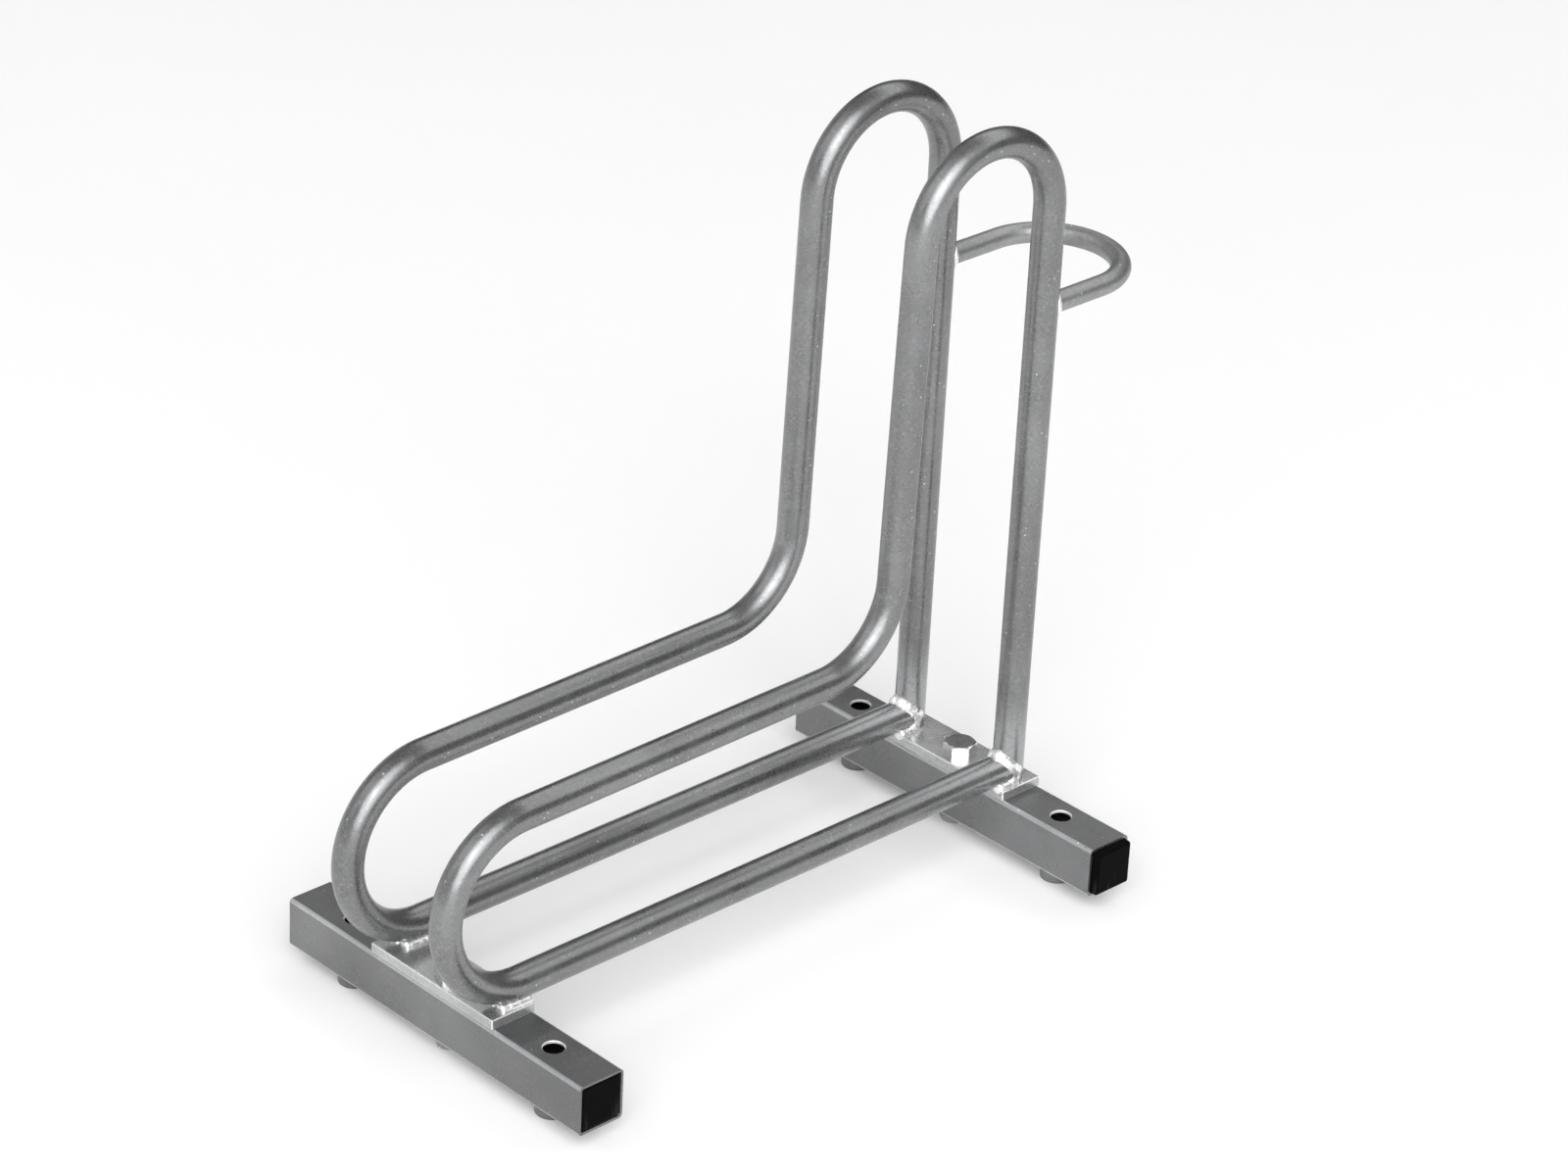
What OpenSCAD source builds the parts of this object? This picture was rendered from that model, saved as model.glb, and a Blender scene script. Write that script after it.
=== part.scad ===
// Floor stand for one bicycle wheel: two bent tube loops, welded to two flat
// plates, stand on two square tube crossbars. One bolt clamps each crossbar.
// Axes: +X is the way the wheel rolls in, +Z is up. The origin lies on the
// floor, midway between the two bolts.

/* [Wheel loops] */
// Clear width between the two loops, where the wheel goes
slot_w = 62; // [45:1:70]
// Outside diameter of the loop tube
tube_d = 18; // [16:0.5:20]
// Wall of the loop tube
tube_wall = 1.5; // [1:0.25:3]
// Height of the loops above their plates
loop_h = 413; // [360:1:480]
// Centreline radius of the bend at the top
top_r = 48.5; // [42:0.5:56]
// Centreline radius of the bend between upright and upper run
knee_r = 51; // [35:1:70]
// Centreline radius of the bend at the nose
nose_r = 51; // [42:0.5:60]
// How far behind the front bolt the nose bends start
nose_start = 11.5; // [0:0.5:13]
// Lean of the front upright from vertical, in degrees
upright_lean = 1.6; // [0:0.1:4]
// Rise of the upper run from nose to knee, in degrees
run_rise = 0.7; // [0:0.1:3]
// How far ahead of the rear bolt the legs stand
leg_setback = 2; // [0:0.5:4]

/* [Lock hoop] */
// Diameter of the round bar
hoop_d = 12; // [10:0.5:14]
// Distance from the legs' centreline to the middle of the hoop's bend
hoop_reach = 86; // [70:1:120]
// Height of the hoop above the plates
hoop_h = 296; // [220:1:330]

/* [Plates] */
// Width of the flat bar, along the wheel
plate_w = 30; // [28:1:40]
// Thickness of the flat bar
plate_t = 6; // [4:0.5:8]
// How far a plate reaches past the outside of each loop
plate_margin = 1; // [0.5:0.5:8]

/* [Crossbars] */
// Distance between the front and rear bolts
bolt_spacing = 379; // [340:1:420]
// Outside width and height of the square tube
bar_w = 30; // [28:1:40]
// Wall of the square tube
bar_wall = 1.5; // [1:0.25:3]
// Outside corner radius of the square tube
bar_corner_r = 2.5; // [1.5:0.25:4]
// Length of a crossbar
bar_l = 240; // [220:1:300]
// Distance from an end of a crossbar to its fixing hole
fixing_inset = 38; // [30:1:50]
// Diameter of the fixing holes
fixing_d = 12; // [8:0.5:14]
// Diameter of the round feet under the fixing holes
foot_d = 19; // [17:0.5:24]

/* [End caps] */
// Depth of a cap, from its face to its open end
cap_l = 14; // [10:1:20]
// Wall of a cap's skirt and face
cap_wall = 2; // [1.5:0.25:4]
// Radius round the face of a cap
cap_edge_r = 2; // [1:0.25:4]
// Gap on each side between a cap and its tube
cap_play = 0.1; // [0.05:0.05:0.3]
// How far the right rear cap stands out of its tube
cap_proud = 5; // [0:0.5:7]

/* [Bolts] */
// Thread diameter of the clamp bolts
bolt_d = 10; // [8:1:12]
// Width across the flats of bolt heads and nuts
hex_af = 17; // [16:0.5:19]
// Height of a bolt head
head_h = 6.4; // [5:0.1:8]
// Height of a nut
nut_h = 8; // [6:0.5:10]
// Length of bolt that stands out below its nut
bolt_tail = 1; // [0.5:0.25:3]
// Gap between the end of a bolt and the floor
floor_gap = 0.5; // [0.25:0.25:3]
// Radial gap between a bolt and its holes
bolt_play = 0.25; // [0.1:0.05:0.6]
// Radial gap that stands for the thread between bolt and nut
thread_play = 0.05; // [0.02:0.01:0.1]
// Chamfer on the corners of bolt heads, nuts and bolt ends
hex_chamfer = 0.8; // [0.4:0.1:1.2]
// Turn of the bolt heads about their axis, in degrees
head_turn = 17; // [0:1:59]

/* [Welds] */
// Leg length of the fillets on the plates
weld = 4; // [2:0.5:5]
// Leg length of the fillets round the hoop's ends
hoop_weld = 2.5; // [1.5:0.5:4]
// Length of the fillets under each nose
nose_weld_l = 22; // [14:1:28]

/* [Hidden] */
$fn = 96;

// Overlap of a cutting shape past the surface it cuts
cut = 1;
// Gap between a weld and the leg; half of it lies between a weld and a run
seam = 0.1;
// How much the tube's radius shrinks in a bend
bend_thinning = 0.1;
// Length of the taper that leads from a straight run into a bend
neck_l = 2;

// Heights above the floor
foot_h = nut_h + bolt_tail + floor_gap;
bar_top = foot_h + bar_w;
plate_top = bar_top + plate_t;
run_z = plate_top + tube_d / 2;
hoop_z = plate_top + hoop_h;

// Places along the wheel
front_x = -bolt_spacing / 2;
rear_x = bolt_spacing / 2;
leg_x = rear_x - leg_setback;

// Places across the wheel
loop_y = (slot_w + tube_d) / 2;
plate_l = slot_w + 2 * tube_d + 2 * plate_margin;
fixing_y = bar_l / 2 - fixing_inset;

// Bend centres of a loop, as [x, z]
nose_c = [front_x + nose_start, run_z + nose_r];
top_c = [leg_x - top_r, plate_top + loop_h - tube_d / 2 - top_r];

// Unit vectors that point from the upright and the upper run to the knee's centre
upright_n = [-cos(upright_lean), sin(upright_lean)];
run_n = [-sin(run_rise), cos(run_rise)];

// The knee's centre lies knee_r away from both straight runs
upright_start = top_c + top_r * upright_n;
run_start = nose_c + nose_r * run_n;
upright_c = upright_start * upright_n + knee_r;
run_c = run_start * run_n + knee_r;
knee_det = upright_n[0] * run_n[1] - upright_n[1] * run_n[0];
knee_c = [
    (upright_c * run_n[1] - run_c * upright_n[1]) / knee_det,
    (run_c * upright_n[0] - upright_c * run_n[0]) / knee_det
];
upright_end = knee_c - knee_r * upright_n;
run_end = knee_c - knee_r * run_n;

// Inside of the square tube, and the cap that fits it
bar_bore = bar_w - 2 * bar_wall;
bar_bore_r = max(bar_corner_r - bar_wall, 0.5);
cap_w = bar_bore - 2 * cap_play;

bolt_l = plate_t + bar_w + nut_h + bolt_tail;
hole_d = bolt_d + 2 * bolt_play;

zinc = "silver";
plastic = "#1c1c1c";
bright = "gainsboro";

// Round bar between two points [x, z] of the plane y = 0. A neck tapers on
// into the bend before its start or after its end.
module rod(from, to, d, neck_before = false, neck_after = false) {
    run = to - from;
    neck_d = d - 4 * bend_thinning;
    translate([from[0], 0, from[1]])
        rotate([0, atan2(run[0], run[1]), 0]) {
            cylinder(d = d, h = norm(run));
            if (neck_before)
                translate([0, 0, -neck_l])
                    cylinder(d1 = neck_d, d2 = d, h = neck_l);
            if (neck_after)
                translate([0, 0, norm(run)])
                    cylinder(d1 = d, d2 = neck_d, h = neck_l);
        }
}

// Round bar bent about a centre [x, z], from one angle to another
module bend(centre, r, d, from, to) {
    translate([centre[0], 0, centre[1]])
        rotate([90, 0, 0])
            rotate([0, 0, from])
                rotate_extrude(angle = to - from)
                    translate([r, 0])
                        circle(d = d - 2 * bend_thinning);
}

// The path of a loop as a solid of the given diameter. The leg starts at
// foot_z and the bottom run ends at end_x.
module loop_path(d, foot_z, end_x) {
    rod([leg_x, foot_z], [leg_x, top_c[1]], d, neck_after = true);
    bend(top_c, top_r, d, 0, 180 - upright_lean);
    rod(upright_start, upright_end, d, neck_before = true, neck_after = true);
    bend(knee_c, knee_r, d, run_rise - 90, -upright_lean);
    rod(run_end, run_start, d, neck_before = true, neck_after = true);
    bend(nose_c, nose_r, d, 90 + run_rise, 270);
    rod([nose_c[0], run_z], [end_x, run_z], d, neck_before = true);
}

// Bottom run and nose of a loop as a solid, for cutting what lies against it
module lower_path(d) {
    bend(nose_c, nose_r, d, 180, 270);
    rod([nose_c[0], run_z], [leg_x, run_z], d, neck_before = true);
}

module wheel_loop(y) {
    translate([0, y, 0])
        difference() {
            loop_path(tube_d, plate_top, leg_x);
            loop_path(tube_d - 2 * tube_wall, plate_top - cut, leg_x - tube_d / 2);
        }
}

module right_wheel_loop() {
    color(zinc) wheel_loop(-loop_y);
}

module left_wheel_loop() {
    color(zinc) wheel_loop(loop_y);
}

// Horizontal round bar behind the legs, bent to a half circle
module lock_hoop() {
    color(zinc)
        difference() {
            translate([leg_x, 0, hoop_z])
                hoop_bar();
            leg_cuts();
        }
}

module hoop_bar() {
    straight = hoop_reach - loop_y;
    for (side = [-1, 1])
        translate([0, side * loop_y, 0])
            rotate([0, 90, 0])
                cylinder(d = hoop_d, h = straight);
    translate([straight, 0, 0])
        rotate([0, 0, -90])
            rotate_extrude(angle = 180)
                translate([loop_y, 0])
                    circle(d = hoop_d);
}

// Both legs as solids near the hoop's height
module leg_cuts() {
    for (side = [-1, 1])
        translate([leg_x, side * loop_y, hoop_z])
            cylinder(d = tube_d, h = 4 * hoop_d, center = true);
}

module plate(x) {
    difference() {
        translate([x, 0, bar_top + plate_t / 2])
            cube([plate_w, plate_l, plate_t], center = true);
        translate([x, 0, bar_top - cut])
            cylinder(d = hole_d, h = plate_t + 2 * cut);
    }
}

module front_plate() {
    color(zinc) plate(front_x);
}

module rear_plate() {
    color(zinc) plate(rear_x);
}

// Square with rounded corners
module rounded_square(w, r) {
    square([w, w - 2 * r], center = true);
    square([w - 2 * r, w], center = true);
    for (x = [-1, 1], y = [-1, 1])
        translate([x * (w / 2 - r), y * (w / 2 - r)])
            circle(r = r);
}

module crossbar(x) {
    translate([x, 0, foot_h + bar_w / 2])
        difference() {
            rotate([90, 0, 0])
                linear_extrude(bar_l, center = true)
                    difference() {
                        rounded_square(bar_w, bar_corner_r);
                        rounded_square(bar_bore, bar_bore_r);
                    }
            cylinder(d = hole_d, h = bar_w + 2 * cut, center = true);
            for (side = [-1, 1])
                translate([0, side * fixing_y, 0])
                    cylinder(d = fixing_d, h = bar_w + 2 * cut, center = true);
        }
}

module front_crossbar() {
    color(zinc) crossbar(front_x);
}

module rear_crossbar() {
    color(zinc) crossbar(rear_x);
}

// Plug in the end of a crossbar. Its rounded face looks away from the bar and
// stands out of the tube by proud; behind the face it is a hollow skirt.
module cap(x, side, proud) {
    corner = cap_w / 2 - cap_edge_r;
    translate([x, side * (bar_l / 2 + proud), foot_h + bar_w / 2])
        rotate([side * 90, 0, 0])
            difference() {
                hull()
                    for (u = [-1, 1], v = [-1, 1])
                        translate([u * corner, v * corner, 0]) {
                            translate([0, 0, cap_edge_r])
                                sphere(r = cap_edge_r, $fn = 32);
                            translate([0, 0, cap_l - cut])
                                cylinder(r = cap_edge_r, h = cut, $fn = 32);
                        }
                translate([0, 0, (cap_l + cap_wall) / 2 + cut])
                    cube([cap_w - 2 * cap_wall, cap_w - 2 * cap_wall, cap_l - cap_wall + 2 * cut],
                        center = true);
            }
}

module front_right_cap() {
    color(plastic) cap(front_x, -1, 0);
}

module front_left_cap() {
    color(plastic) cap(front_x, 1, 0);
}

module rear_right_cap() {
    color(plastic) cap(rear_x, -1, cap_proud);
}

module rear_left_cap() {
    color(plastic) cap(rear_x, 1, 0);
}

// Round bush below a fixing hole, on which the bar stands
module foot(x, side) {
    translate([x, side * fixing_y, 0])
        difference() {
            cylinder(d = foot_d, h = foot_h);
            translate([0, 0, -cut])
                cylinder(d = fixing_d, h = foot_h + 2 * cut);
        }
}

module front_right_foot() {
    color(zinc) foot(front_x, -1);
}

module front_left_foot() {
    color(zinc) foot(front_x, 1);
}

module rear_right_foot() {
    color(zinc) foot(rear_x, -1);
}

module rear_left_foot() {
    color(zinc) foot(rear_x, 1);
}

// Hexagon prism of height h whose corners are chamfered at the chosen ends
module hexagon(h, bottom, top) {
    d = hex_af / cos(30);
    low_r = d / 2 - (bottom ? hex_chamfer : 0);
    high_r = d / 2 - (top ? hex_chamfer : 0);
    slope = hex_chamfer / 2;
    intersection() {
        cylinder(d = d, h = h, $fn = 6);
        union() {
            cylinder(r1 = low_r, r2 = d / 2, h = slope);
            translate([0, 0, slope])
                cylinder(d = d, h = h - 2 * slope);
            translate([0, 0, h - slope])
                cylinder(r1 = d / 2, r2 = high_r, h = slope);
        }
    }
}

// Hexagon bolt with its head on the plate
module bolt(x) {
    translate([x, 0, plate_top]) {
        rotate([0, 0, head_turn])
            hexagon(head_h, false, true);
        translate([0, 0, -bolt_l + hex_chamfer])
            cylinder(d = bolt_d, h = bolt_l - hex_chamfer);
        translate([0, 0, -bolt_l])
            cylinder(d1 = bolt_d - 2 * hex_chamfer, d2 = bolt_d, h = hex_chamfer);
    }
}

module front_bolt() {
    color(bright) bolt(front_x);
}

module rear_bolt() {
    color(bright) bolt(rear_x);
}

// Hexagon nut under the crossbar
module nut(x) {
    translate([x, 0, foot_h - nut_h])
        difference() {
            hexagon(nut_h, true, true);
            translate([0, 0, -cut])
                cylinder(r = bolt_d / 2 + thread_play, h = nut_h + 2 * cut);
        }
}

module front_nut() {
    color(bright) nut(front_x);
}

module rear_nut() {
    color(bright) nut(rear_x);
}

// Fillet round a leg's foot and round the end of the bottom run, kept to the
// top of the plate
module leg_weld(side) {
    y = side * loop_y;
    r = tube_d / 2;
    toe = weld / 8;
    difference() {
        intersection() {
            union() {
                translate([leg_x, y, plate_top])
                    cylinder(r1 = r + weld, r2 = r + toe, h = weld);
                translate([leg_x - r - weld, y, run_z])
                    rotate([0, 90, 0])
                        cylinder(r1 = r + toe, r2 = r + weld / 2, h = weld + r / 2);
            }
            translate([leg_x - 2 * tube_d, -plate_l / 2, plate_top])
                cube([4 * tube_d, plate_l, 2 * tube_d]);
        }
        translate([0, y, 0])
            rod([leg_x - 2 * tube_d, run_z], [leg_x, run_z], tube_d + seam);
        translate([leg_x, y, plate_top - cut])
            cylinder(r = r + seam, h = 3 * tube_d);
    }
}

module right_leg_weld() {
    color(bright) leg_weld(-1);
}

module left_leg_weld() {
    color(bright) leg_weld(1);
}

// Fillets on both sides of a nose, from the plate's rear edge forwards
module nose_weld(side) {
    half = tube_d / 2 + plate_margin;
    difference() {
        translate([front_x + plate_w / 2 - nose_weld_l, side * loop_y, plate_top])
            rotate([90, 0, 90])
                linear_extrude(nose_weld_l)
                    polygon([[-half, 0], [half, 0], [half - weld / 2, weld], [weld / 2 - half, weld]]);
        translate([0, side * loop_y, 0])
            lower_path(tube_d + seam);
    }
}

module right_nose_weld() {
    color(bright) nose_weld(-1);
}

module left_nose_weld() {
    color(bright) nose_weld(1);
}

// Fillets round both ends of the lock hoop
module hoop_welds() {
    r = hoop_d / 2;
    color(bright)
        difference() {
            for (side = [-1, 1])
                translate([leg_x + tube_d / 2 - hoop_weld, side * loop_y, hoop_z])
                    rotate([0, 90, 0])
                        cylinder(r1 = r + 1.6 * hoop_weld, r2 = r, h = 2 * hoop_weld);
            translate([leg_x, 0, hoop_z])
                hoop_bar();
            leg_cuts();
        }
}

right_wheel_loop();
left_wheel_loop();
lock_hoop();
front_plate();
rear_plate();
front_crossbar();
rear_crossbar();
front_right_cap();
front_left_cap();
rear_right_cap();
rear_left_cap();
front_right_foot();
front_left_foot();
rear_right_foot();
rear_left_foot();
front_bolt();
rear_bolt();
front_nut();
rear_nut();
right_leg_weld();
left_leg_weld();
right_nose_weld();
left_nose_weld();
hoop_welds();
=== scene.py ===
import math
import random

import bmesh
import bpy
from bpy.props import FloatProperty, FloatVectorProperty, PointerProperty
from mathutils import Matrix, Vector


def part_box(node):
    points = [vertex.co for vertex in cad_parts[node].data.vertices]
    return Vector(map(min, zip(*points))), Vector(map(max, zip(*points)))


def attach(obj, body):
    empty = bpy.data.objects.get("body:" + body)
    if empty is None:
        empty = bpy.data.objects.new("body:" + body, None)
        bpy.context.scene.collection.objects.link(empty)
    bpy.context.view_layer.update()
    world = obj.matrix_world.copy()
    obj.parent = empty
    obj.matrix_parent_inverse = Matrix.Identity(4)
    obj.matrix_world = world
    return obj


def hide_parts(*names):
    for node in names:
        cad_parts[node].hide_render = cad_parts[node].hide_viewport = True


bl_info = {
    "name": "Wheel Stand",
    "version": (1, 0, 0),
    "blender": (4, 5, 0),
    "location": "View3D > Sidebar > Wheel Stand",
    "description": "Dresses a bent-tube floor stand for one bicycle wheel",
    "category": "Add Mesh",
}

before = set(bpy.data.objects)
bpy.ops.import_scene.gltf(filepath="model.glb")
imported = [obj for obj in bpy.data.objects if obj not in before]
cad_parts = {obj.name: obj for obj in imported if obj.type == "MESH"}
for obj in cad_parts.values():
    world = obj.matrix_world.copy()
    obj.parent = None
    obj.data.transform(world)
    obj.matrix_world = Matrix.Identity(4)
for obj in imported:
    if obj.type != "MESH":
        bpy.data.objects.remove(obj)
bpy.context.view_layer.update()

# How finely round forms are divided
TUBE_SIDES = 48
BEND_STEP = math.radians(3)
ROUND_STEPS = 64

# Radii of weld beads, as shares of the bead beside a leg
SADDLE_SHARE, FOOT_SHARE, NOSE_SHARE, HOOP_SHARE = 1.3, 0.8, 0.85, 0.36

# How weld beads are melted into one skin
MELT_VOXEL = 0.0004
MELT_PASSES = 20

# How deep the hoop's ends reach into the legs
HOOP_SINK = 0.003

# Turned and cut forms of the bolts and nuts
TIP_CHAMFER = 0.0008
SHANK_IN_HEAD = 0.001
THREAD_PLAY = 0.00005
TURNED_SHARE = 0.96
TURNED_SLOPE = math.tan(math.radians(30))

# How a finish is drawn out along a piece
EVEN = (1, 1, 1)
ALONG_TUBE = (1, 1, 0.03)
ALONG_BAR = (1, 0.03, 1)

# The lights: where the bright panels stand, and how strong each part is
WINDOW = Vector((-0.466, -0.631, 0.618))
STRIP = Vector((-0.58, 0.4, 0.71))
SUN_ENERGY = 0.34
SUN_ANGLE = math.radians(12)
DOME_R = 8
WINDOW_RIM, WINDOW_CORE = 0.29, 2.9
STRIP_LEVEL = 0.84
ARCH_LEVEL = 1.22
CEILING_LEVEL = 0.3
HORIZON_LEVELS = (0.1, 0.6)
FLOOR_GLOW = 0.13

# The photograph's view
VIEW_TURN, VIEW_RAISED, VIEW_ROLL = map(math.radians, (-44.44, 27.84, 2.92))
VIEW_TARGET = Vector((0.04145, 0, 0.1999))
VIEW_DISTANCE = 2.79575
VIEW_LENS, VIEW_SENSOR = 118.07, 36


def middle(node):
    """Centre of a CAD node's box."""
    low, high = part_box(node)
    return (low + high) / 2


PLATE_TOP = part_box("rear_plate")[1].z
FRONT_X = middle("front_plate").x
REAR_X = middle("rear_plate").x
LOOP_Y = middle("left_wheel_loop").y
LOOP_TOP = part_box("left_wheel_loop")[1].z
HOOP_Z = middle("lock_hoop").z
SIDES = (("right", -1), ("left", 1))
ENDS = (("front", FRONT_X), ("rear", REAR_X))


class StandSizes(bpy.types.PropertyGroup):
    """Sizes of the stand's pieces."""

    tube_d: FloatProperty(
        name="Tube", description="Outside diameter of the loop tube", default=0.018, unit="LENGTH"
    )
    top_r: FloatProperty(
        name="Top bend", description="Centreline radius at the top", default=0.0485, unit="LENGTH"
    )
    knee_r: FloatProperty(
        name="Knee bend", description="Centreline radius at the knee", default=0.051, unit="LENGTH"
    )
    nose_r: FloatProperty(
        name="Nose bend", description="Centreline radius at the nose", default=0.051, unit="LENGTH"
    )
    nose_start: FloatProperty(
        name="Nose start",
        description="How far behind the front bolt the nose bends start",
        default=0.0115,
        unit="LENGTH",
    )
    leg_setback: FloatProperty(
        name="Leg setback",
        description="How far ahead of the rear bolt the legs stand",
        default=0.002,
        unit="LENGTH",
    )
    lean: FloatProperty(
        name="Lean",
        description="Lean of the front upright from vertical",
        default=math.radians(1.6),
        subtype="ANGLE",
    )
    rise: FloatProperty(
        name="Rise",
        description="Rise of the upper run from nose to knee",
        default=math.radians(0.7),
        subtype="ANGLE",
    )
    thinning: FloatProperty(
        name="Bend thinning",
        description="How much the tube's radius shrinks in a bend",
        default=0.0001,
        unit="LENGTH",
    )
    flattening: FloatProperty(
        name="Bend flattening",
        description="Share by which a bend's middle is flattened",
        default=0.025,
        subtype="FACTOR",
    )
    hoop_d: FloatProperty(
        name="Hoop bar", description="Diameter of the lock hoop's bar", default=0.012, unit="LENGTH"
    )
    hoop_reach: FloatProperty(
        name="Hoop reach",
        description="From the legs' centreline to the middle of the hoop's bend",
        default=0.086,
        unit="LENGTH",
    )
    bar_wall: FloatProperty(
        name="Bar wall", description="Wall of the crossbars", default=0.0015, unit="LENGTH"
    )
    bar_corner: FloatProperty(
        name="Bar corner", description="Outside corner radius", default=0.0025, unit="LENGTH"
    )
    fixing_d: FloatProperty(
        name="Fixing hole", description="Diameter of the fixing holes", default=0.012, unit="LENGTH"
    )
    burr: FloatProperty(
        name="Hole edge", description="Chamfer round a drilled hole", default=0.0004, unit="LENGTH"
    )
    plate_edge: FloatProperty(
        name="Plate edge", description="Radius of the plates' edges", default=0.0007, unit="LENGTH"
    )
    cap_wall: FloatProperty(
        name="Cap wall", description="Wall of a cap's skirt", default=0.002, unit="LENGTH"
    )
    cap_edge: FloatProperty(
        name="Cap edge", description="Radius round a cap's face", default=0.002, unit="LENGTH"
    )
    bolt_d: FloatProperty(
        name="Bolt", description="Thread diameter of the bolts", default=0.010, unit="LENGTH"
    )
    bolt_play: FloatProperty(
        name="Bolt play",
        description="Radial gap between bolt and holes",
        default=0.00025,
        unit="LENGTH",
    )
    hex_af: FloatProperty(
        name="Spanner size", description="Width across the flats", default=0.017, unit="LENGTH"
    )
    head_turn: FloatProperty(
        name="Head turn",
        description="Turn of the bolt heads about their axis",
        default=math.radians(17),
        subtype="ANGLE",
    )
    bead: FloatProperty(
        name="Weld bead", description="Radius of a weld bead", default=0.005, unit="LENGTH"
    )
    ripple: FloatProperty(
        name="Ripple", description="Distance between weld ripples", default=0.0014, unit="LENGTH"
    )


class StandColours(bpy.types.PropertyGroup):
    """Colours of the stand's finishes."""

    tube: FloatVectorProperty(
        name="Galvanised tube",
        description="Zinc on the tube loops and the hoop",
        default=(0.226, 0.228, 0.231),
        subtype="COLOR",
    )
    bar: FloatVectorProperty(
        name="Galvanised bar",
        description="Zinc on the crossbars, plates and feet",
        default=(0.198, 0.2, 0.203),
        subtype="COLOR",
    )
    plate: FloatVectorProperty(
        name="Plates",
        description="Zinc on the two flat plates",
        default=(0.44, 0.443, 0.447),
        subtype="COLOR",
    )
    # Bare metal in the drilled holes, drawn pale: partly a painted highlight.
    edge: FloatVectorProperty(
        name="Drilled edge",
        description="Bare metal round the holes",
        default=(0.98, 0.98, 0.98),
        subtype="COLOR",
    )
    bright: FloatVectorProperty(
        name="Bright zinc",
        description="Plating of bolts and nuts",
        default=(0.98, 0.98, 0.98),
        subtype="COLOR",
    )
    weld: FloatVectorProperty(
        name="Weld",
        description="Zinc on the weld beads",
        default=(0.98, 0.98, 0.98),
        subtype="COLOR",
    )
    plastic: FloatVectorProperty(
        name="Cap plastic",
        description="Plastic of the end caps",
        default=(0.0025, 0.0025, 0.003),
        subtype="COLOR",
    )
    floor: FloatVectorProperty(
        name="Floor", description="Studio floor", default=(0.82, 0.82, 0.82), subtype="COLOR"
    )


class Finish:
    """A material and short ways to add nodes to it."""

    def __init__(self, name, metallic, roughness):
        self.material = bpy.data.materials.new(name)
        self.material.use_nodes = True
        self.nodes = self.material.node_tree.nodes
        self.links = self.material.node_tree.links
        self.shader = self.nodes["Principled BSDF"]
        self.shader.inputs["Metallic"].default_value = metallic
        self.shader.inputs["Roughness"].default_value = roughness
        self.place = self.add("ShaderNodeTexCoord").outputs["Object"]

    def add(self, kind, **sockets):
        """A node whose sockets are linked to outputs or set to values."""
        node = self.nodes.new(kind)
        for name, value in sockets.items():
            self.feed(node.inputs[name.replace("_", " ")], value)
        return node

    def feed(self, socket, value):
        if isinstance(value, bpy.types.NodeSocket):
            self.links.new(value, socket)
        else:
            socket.default_value = value

    def follow(self, attribute, stretch):
        """Reads places from a mesh attribute, stretched by a factor along each axis."""
        node = self.add("ShaderNodeAttribute")
        node.attribute_name = attribute
        return self.stretch(node.outputs["Vector"], stretch)

    def stretch(self, place, factors):
        return self.add("ShaderNodeMapping", Vector=place, Scale=factors).outputs["Vector"]

    def noise(self, scale, detail=3.0, rough=0.55, place=None):
        place = place or self.place
        node = self.add(
            "ShaderNodeTexNoise", Vector=place, Scale=scale, Detail=detail, Roughness=rough
        )
        return node.outputs[0]

    def cells(self, scale, place=None):
        """Voronoi cells: the distance to a cell's middle and a value for each cell."""
        node = self.add("ShaderNodeTexVoronoi", Vector=place or self.place, Scale=scale)
        grey = self.add("ShaderNodeSeparateColor", Color=node.outputs["Color"]).outputs["Red"]
        return node.outputs["Distance"], grey

    def ramp(self, value, low, high, to_low=0.0, to_high=1.0):
        """Maps low..high smoothly onto to_low..to_high."""
        node = self.add(
            "ShaderNodeMapRange",
            Value=value,
            From_Min=low,
            From_Max=high,
            To_Min=to_low,
            To_Max=to_high,
        )
        node.interpolation_type = "SMOOTHSTEP"
        return node.outputs["Result"]

    def math(self, how, a, b):
        node = self.add("ShaderNodeMath")
        node.operation = how
        self.feed(node.inputs[0], a)
        self.feed(node.inputs[1], b)
        return node.outputs[0]

    def mix(self, share, a, b):
        """Mixes two colours."""
        node = self.add("ShaderNodeMix")
        node.data_type = "RGBA"
        sockets = {s.identifier: s for s in node.inputs}
        self.feed(sockets["Factor_Float"], share)
        for name, colour in (("A_Color", a), ("B_Color", b)):
            linked = isinstance(colour, bpy.types.NodeSocket)
            self.feed(sockets[name], colour if linked else (*colour, 1))
        return next(s for s in node.outputs if s.identifier == "Result_Color")

    def bump(self, height, strength, distance, normal=None):
        node = self.add("ShaderNodeBump", Height=height, Strength=strength, Distance=distance)
        if normal:
            self.feed(node.inputs["Normal"], normal)
        return node.outputs["Normal"]

    def finish(self, colour=None, roughness=None, normal=None):
        for name, value in (("Base Color", colour), ("Roughness", roughness), ("Normal", normal)):
            if value is not None:
                self.feed(self.shader.inputs[name], value)
        return self.material


def scaled(colour, factor):
    return tuple(min(1.0, c * factor) for c in colour)


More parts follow.
